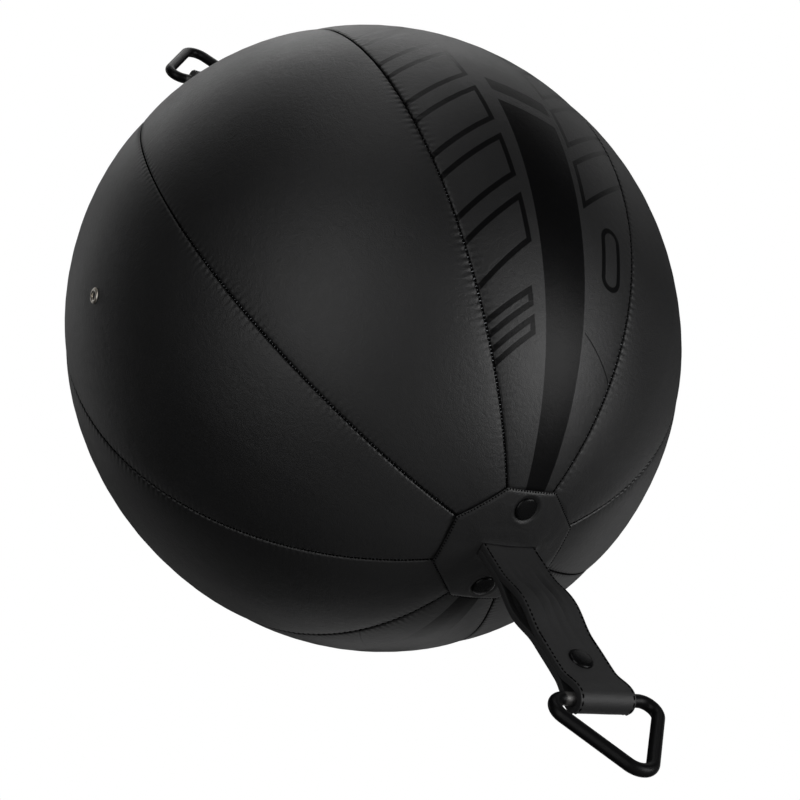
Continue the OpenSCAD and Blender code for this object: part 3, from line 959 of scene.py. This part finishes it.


# The ring's light steel colour on the bar's -X end is partly scuffed enamel and partly a painted highlight.
ring_enamel = enamel("ring_enamel", (0.0040, 0.0040, 0.0044, 1), 0.40, (0.13, 0.127, 0.124, 1),
                     orange_peel=0.18, rub_patch_and_highlight=strap_rub_with_painted_highlight)
for end in ENDS:
    bm = bmesh.new()
    turn = Matrix.Rotation(math.pi / 2, 4, "Y")
    bmesh.ops.create_circle(bm, segments=WIRE_SIDES, radius=WIRE_RADIUS, matrix=turn)
    corner = RING_HALF - bar_tangent
    apex_up = RING_HEIGHT - APEX_BEND / math.sin(math.pi / 2 - side_angle)
    lean = Vector((-math.cos(side_angle), 0, math.sin(side_angle)))
    half_bar = Vector((corner, 0, 0))
    loop = drawn(bm, bm.edges[:], half_bar, HALF_BAR_STEPS)
    loop = bent(bm, loop, (corner, 0, BAR_BEND), math.pi - side_angle, CORNER_STEPS)
    loop = drawn(bm, loop, lean * leg, LEG_STEPS)
    loop = bent(bm, loop, (0, 0, apex_up), 2 * side_angle, APEX_STEPS)
    loop = drawn(bm, loop, Vector((lean.x, 0, -lean.z)) * leg, LEG_STEPS)
    loop = bent(bm, loop, (-corner, 0, BAR_BEND), math.pi - side_angle, CORNER_STEPS)
    drawn(bm, loop, half_bar, HALF_BAR_STEPS)
    bmesh.ops.remove_doubles(bm, verts=bm.verts, dist=0.00002)
    for vertex in bm.verts:
        vertex.co.z = (BAR_UP + vertex.co.z) * ENDS[end] + ball_centre.z
    bmesh.ops.recalc_face_normals(bm, faces=bm.faces)
    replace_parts(finished(bm, f"{end}_hanging_ring", ring_enamel, f"{end}_ring"), f"{end}_ring")

# Vent eyelet. A small nickelled brass eyelet is closed through one panel at its middle, so that
# air can leave the ball when it is struck.
VENT_BORE = 0.0025
VENT_ROLL = 0.0014
VENT_ROLL_HEIGHT = 0.0010
VENT_WALL = 0.0009
VENT_DEPTH = 0.0040
VENT_SIDES = 48
nickel, nickel_wire = started("vent_nickel", Metallic=1.0)
nickel_places = nickel_wire.add("ShaderNodeTexCoord", output=3)
tarnish = nickel_wire.add("ShaderNodeTexNoise", {}, {"Vector": nickel_places, "Scale": 420.0, "Detail": 6.0})
mixed(nickel_wire, tarnish.step(0.35, 0.7), (0.86, 0.82, 0.74, 1), (0.50, 0.44, 0.35, 1)).to("Base Color")
(tarnish * 0.35 + 0.18).to("Roughness")
nickel_wire.add("ShaderNodeBump", {}, {"Height": tarnish, "Strength": 0.2, "Distance": 0.0002}).to("Normal")

bm = bmesh.new()
flange = [
    Vector((VENT_BORE + VENT_ROLL + VENT_ROLL * math.cos(angle), 0, VENT_ROLL_HEIGHT * math.sin(angle)))
    for angle in map(math.radians, range(-10, 181, 19))
]
barrel = [
    Vector((VENT_BORE, 0, -VENT_DEPTH)),
    Vector((VENT_BORE + VENT_WALL, 0, -VENT_DEPTH)),
    Vector((VENT_BORE + VENT_WALL, 0, -0.0002)),
]
chain = [bm.verts.new(p) for p in flange + barrel]
edges = [bm.edges.new((a, b)) for a, b in zip(chain, chain[1:] + chain[:1])]
bmesh.ops.spin(bm, geom=chain + edges, cent=(0, 0, 0), axis=(0, 0, 1), angle=2 * math.pi,
               steps=VENT_SIDES, use_merge=True)
vent_seat, vent_out = on_ball(math.pi, math.pi / 2, -0.0001)
turn = vent_out.to_track_quat("Z", "Y").to_matrix().to_4x4()
bmesh.ops.transform(bm, matrix=Matrix.Translation(vent_seat) @ turn, verts=bm.verts)
bmesh.ops.recalc_face_normals(bm, faces=bm.faces)
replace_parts(finished(bm, "vent_eyelet_flange", nickel, "ball"), "vent_eyelet")

# Inside the ball. A foam layer, a woven inner bag packed with textile cuttings, and the backing
# patches and steel washers that the rivets close on; none of it shows when the bag is whole.
foam, foam_wire = started("closed_cell_foam", Roughness=0.9)
foam_places = foam_wire.add("ShaderNodeTexCoord", output=3)
cells = foam_wire.add("ShaderNodeTexVoronoi", {}, {"Vector": foam_places, "Scale": 700.0})
# Darker in the cells' pits, where the bump is low: painted shade.
mixed(foam_wire, cells, (0.30, 0.31, 0.33, 1), (0.42, 0.43, 0.45, 1)).to("Base Color")
foam_wire.add("ShaderNodeBump", {}, {"Height": cells, "Strength": 0.4, "Distance": 0.0004}).to("Normal")

canvas, canvas_wire = started("woven_canvas", Sheen_Weight=0.2)
canvas_places = canvas_wire.add("ShaderNodeTexCoord", output=3)
yarns = {"Vector": canvas_places, "Scale": 260.0}
warp = canvas_wire.add("ShaderNodeTexWave", {"bands_direction": "Z"}, yarns)
weft = canvas_wire.add("ShaderNodeTexWave", {"bands_direction": "X"}, yarns)
weave = warp.math("MAXIMUM", weft)
# Darker between the yarns, where the bump is low: painted shade in the weave's gaps.
mixed(canvas_wire, weave, (0.45, 0.40, 0.32, 1), (0.66, 0.61, 0.51, 1)).to("Base Color")
(weave * 0.1 + 0.8).to("Roughness")
canvas_wire.add("ShaderNodeBump", {}, {"Height": weave, "Strength": 0.5, "Distance": 0.0004}).to("Normal")

cuttings, cuttings_wire = started("textile_cuttings", Roughness=0.95)
cuttings_places = cuttings_wire.add("ShaderNodeTexCoord", output=3)
scraps = cuttings_wire.add("ShaderNodeTexVoronoi", {}, {"Vector": cuttings_places, "Scale": 70.0})
mixed(cuttings_wire, scraps * 1.4, (0.48, 0.45, 0.43, 1), (0.20, 0.21, 0.25, 1)).to("Base Color")
cuttings_wire.add("ShaderNodeBump", {}, {"Height": scraps, "Strength": 0.6, "Distance": 0.002}).to("Normal")

washer_steel, washer_wire = started("washer_steel", Metallic=1.0)
washer_places = washer_wire.add("ShaderNodeTexCoord", output=3)
turning = washer_wire.add("ShaderNodeTexNoise", {}, {"Vector": washer_places, "Scale": 600.0, "Detail": 4.0})
mixed(washer_wire, turning, (0.45, 0.45, 0.45, 1), (0.62, 0.61, 0.60, 1)).to("Base Color")
(turning * 0.3 + 0.25).to("Roughness")

backing_leather = leather("backing_leather", (0.045, 0.036, 0.028, 1), (0.085, 0.070, 0.055, 1), 0.7,
                          grain=0.25)
INSIDE = {
    "foam_layer": foam,
    "inner_bag": canvas,
    "filling": cuttings,
    "vent_washer": nickel,
    "top_backing": backing_leather,
    "bottom_backing": backing_leather,
    "top_cap_washers": washer_steel,
    "bottom_cap_washers": washer_steel,
}
for node, material in INSIDE.items():
    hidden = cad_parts[node]
    hidden.data.materials.clear()
    hidden.data.materials.append(material)
